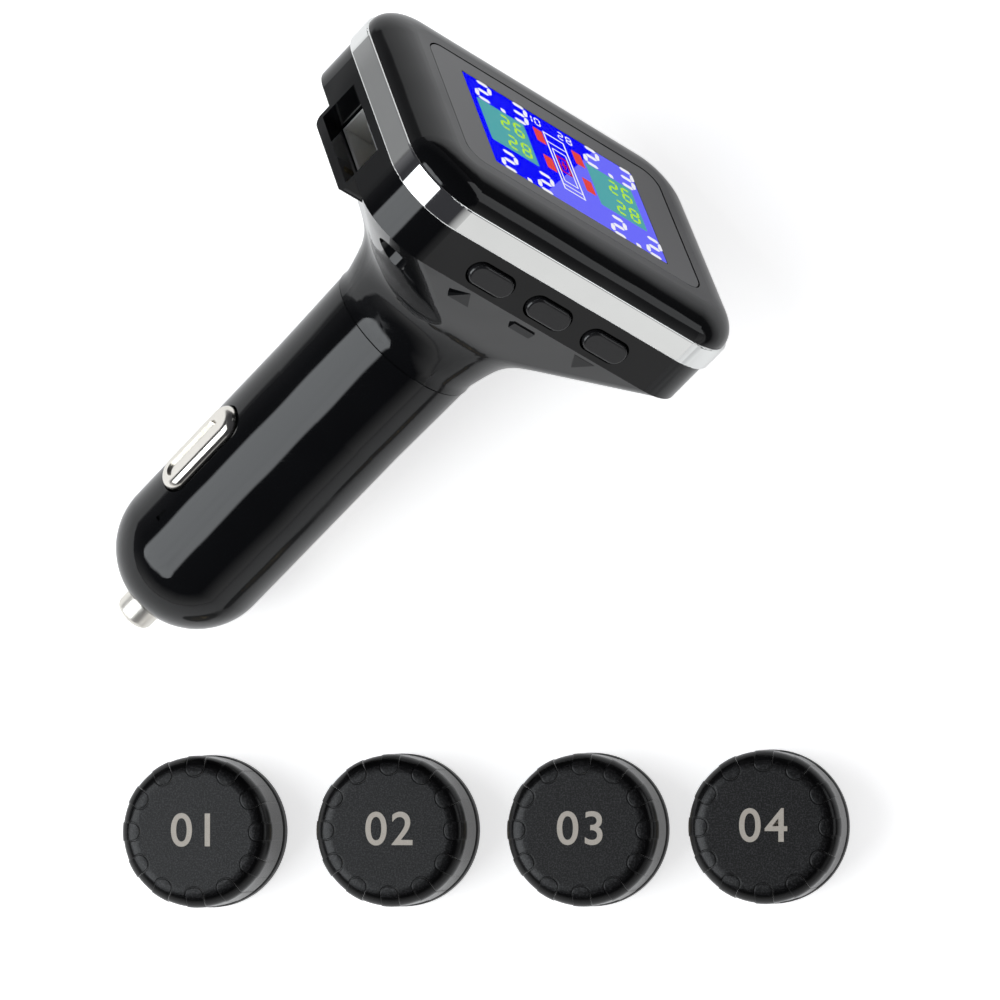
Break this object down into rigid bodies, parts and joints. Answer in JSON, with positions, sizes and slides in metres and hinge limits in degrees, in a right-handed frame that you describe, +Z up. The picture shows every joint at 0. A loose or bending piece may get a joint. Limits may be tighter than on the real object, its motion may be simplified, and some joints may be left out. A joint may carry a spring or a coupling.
{
  "type": "tire pressure monitor",
  "caption": "Tire pressure monitor: tilted display head on a lighter plug with USB socket and side buttons, plus loose round valve-cap sensors.",
  "frame": {"origin": "on the plug's axis, halfway along its straight round barrel", "axes": "+Z up from the surface that the set lies on, +X along the row of sensors, +Y from the sensors towards the display unit"},
  "size_m": [0.0943, 0.1124, 0.0591],
  "materials": {
    "gloss_black": "polished black moulding",
    "button_black": "satin black",
    "black_plastic": "matt black moulding",
    "sensor_black": "fine-textured black with polished edge",
    "white_plastic": "white light tray",
    "lens": "smoked clear window with black printed border",
    "lcd": "lit blue display",
    "board": "green solder mask",
    "chip": "moulded chip body",
    "ferrite": "ferrite",
    "tin": "tin-plated steel",
    "chrome": "bright chrome plating",
    "nickel": "bright nickel plating",
    "steel": "plain steel",
    "cell_steel": "stainless can",
    "brass": "turned brass",
    "glass": "clear glass",
    "rubber": "soft black rubber"
  },
  "bodies": {
    "display_unit": {"backlight": "white_plastic", "buzzer": "black_plastic", "chrome_band": "chrome", "controller_chip": "chip", "display_lens": "lens", "front_bezel": "gloss_black", "fuse_contact": "brass", "lcd_panel": "lcd", "main_board": "board", "plug_barrel": "gloss_black", "plug_core": "black_plastic", "power_board": "board", "power_inductor": "ferrite", "radio_module": "tin", "rear_shell": "gloss_black", "shell_screws": "steel", "side_spring_far": "steel", "side_spring_usb": "steel", "tact_switch_left": "black_plastic", "tact_switch_middle": "black_plastic", "tact_switch_right": "black_plastic", "tip_spring": "steel", "usb_shell": "tin", "usb_tongue": "black_plastic"},
    "button_left": {"button_left": "button_black"},
    "button_middle": {"button_middle": "button_black"},
    "button_right": {"button_right": "button_black"},
    "tip": {"tip_pin": "nickel", "fuse_caps": "nickel", "fuse_glass": "glass"},
    "side_contact_usb": {"side_contact_usb": "nickel"},
    "side_contact_far": {"side_contact_far": "nickel"},
    "sensor_1": {"sensor_base_1": "sensor_black", "valve_insert_1": "brass", "valve_seal_1": "rubber", "sensor_board_1": "board", "coin_cell_1": "cell_steel"},
    "cap_ring_1": {"cap_ring_1": "rubber"},
    "sensor_cap_1": {"sensor_cap_1": "sensor_black"},
    "sensor_2": {"sensor_base_2": "sensor_black", "valve_insert_2": "brass", "valve_seal_2": "rubber", "sensor_board_2": "board", "coin_cell_2": "cell_steel"},
    "cap_ring_2": {"cap_ring_2": "rubber"},
    "sensor_cap_2": {"sensor_cap_2": "sensor_black"},
    "sensor_3": {"sensor_base_3": "sensor_black", "valve_insert_3": "brass", "valve_seal_3": "rubber", "sensor_board_3": "board", "coin_cell_3": "cell_steel"},
    "cap_ring_3": {"cap_ring_3": "rubber"},
    "sensor_cap_3": {"sensor_cap_3": "sensor_black"},
    "sensor_4": {"sensor_base_4": "sensor_black", "valve_insert_4": "brass", "valve_seal_4": "rubber", "sensor_board_4": "board", "coin_cell_4": "cell_steel"},
    "cap_ring_4": {"cap_ring_4": "rubber"},
    "sensor_cap_4": {"sensor_cap_4": "sensor_black"}
  },
  "joints": [
    {"name": "button_left_press", "type": "slide", "parent": "display_unit", "child": "button_left", "axis": [-0.3261, 0.6611, -0.6757], "range_m": [0, 0.0005], "stiffness_N_per_m": 2500, "springref_m": -0.0004},
    {"name": "button_middle_press", "type": "slide", "parent": "display_unit", "child": "button_middle", "axis": [-0.3261, 0.6611, -0.6757], "range_m": [0, 0.0005], "stiffness_N_per_m": 2500, "springref_m": -0.0004},
    {"name": "button_right_press", "type": "slide", "parent": "display_unit", "child": "button_right", "axis": [-0.3261, 0.6611, -0.6757], "range_m": [0, 0.0005], "stiffness_N_per_m": 2500, "springref_m": -0.0004},
    {"name": "tip_press", "type": "slide", "parent": "display_unit", "child": "tip", "axis": [0.7027, 0.6477, 0.2945], "range_m": [0, 0.0025], "stiffness_N_per_m": 2200, "springref_m": -0.0015, "deforming": ["tip_spring"]},
    {"name": "side_contact_usb_press", "type": "slide", "parent": "display_unit", "child": "side_contact_usb", "axis": [0.6324, -0.3788, -0.6757], "range_m": [0, 0.001], "stiffness_N_per_m": 3000, "springref_m": -0.0005, "deforming": ["side_spring_usb"]},
    {"name": "side_contact_far_press", "type": "slide", "parent": "display_unit", "child": "side_contact_far", "axis": [-0.6324, 0.3788, 0.6757], "range_m": [0, 0.001], "stiffness_N_per_m": 3000, "springref_m": -0.0005, "deforming": ["side_spring_far"]},
    {"name": "sensor_1_lift", "type": "slide", "parent": "display_unit", "child": "sensor_1", "axis": [0, 0, 1], "range_m": [0, 0.03]},
    {"name": "cap_1_turn", "type": "hinge", "parent": "sensor_1", "child": "cap_ring_1", "pos_m": [-0.0096, -0.0456, -0.01458], "axis": [0, 0, 1], "range_deg": [0, 541]},
    {"name": "cap_1_rise", "type": "slide", "parent": "cap_ring_1", "child": "sensor_cap_1", "axis": [0, 0, 1], "range_m": [0, 0.00225]},
    {"name": "sensor_2_lift", "type": "slide", "parent": "display_unit", "child": "sensor_2", "axis": [0, 0, 1], "range_m": [0, 0.03]},
    {"name": "cap_2_turn", "type": "hinge", "parent": "sensor_2", "child": "cap_ring_2", "pos_m": [0.0157, -0.0454, -0.01458], "axis": [0, 0, 1], "range_deg": [0, 541]},
    {"name": "cap_2_rise", "type": "slide", "parent": "cap_ring_2", "child": "sensor_cap_2", "axis": [0, 0, 1], "range_m": [0, 0.00225]},
    {"name": "sensor_3_lift", "type": "slide", "parent": "display_unit", "child": "sensor_3", "axis": [0, 0, 1], "range_m": [0, 0.03]},
    {"name": "cap_3_turn", "type": "hinge", "parent": "sensor_3", "child": "cap_ring_3", "pos_m": [0.0404, -0.0453, -0.01458], "axis": [0, 0, 1], "range_deg": [0, 541]},
    {"name": "cap_3_rise", "type": "slide", "parent": "cap_ring_3", "child": "sensor_cap_3", "axis": [0, 0, 1], "range_m": [0, 0.00225]},
    {"name": "sensor_4_lift", "type": "slide", "parent": "display_unit", "child": "sensor_4", "axis": [0, 0, 1], "range_m": [0, 0.03]},
    {"name": "cap_4_turn", "type": "hinge", "parent": "sensor_4", "child": "cap_ring_4", "pos_m": [0.0637, -0.0449, -0.01458], "axis": [0, 0, 1], "range_deg": [0, 541]},
    {"name": "cap_4_rise", "type": "slide", "parent": "cap_ring_4", "child": "sensor_cap_4", "axis": [0, 0, 1], "range_m": [0, 0.00225]}
  ],
  "couplings": [
    {"joint": "cap_1_turn", "follows": "cap_1_rise", "rad_per_m": 4188.8},
    {"joint": "cap_2_turn", "follows": "cap_2_rise", "rad_per_m": 4188.8},
    {"joint": "cap_3_turn", "follows": "cap_3_rise", "rad_per_m": 4188.8},
    {"joint": "cap_4_turn", "follows": "cap_4_rise", "rad_per_m": 4188.8}
  ]
}
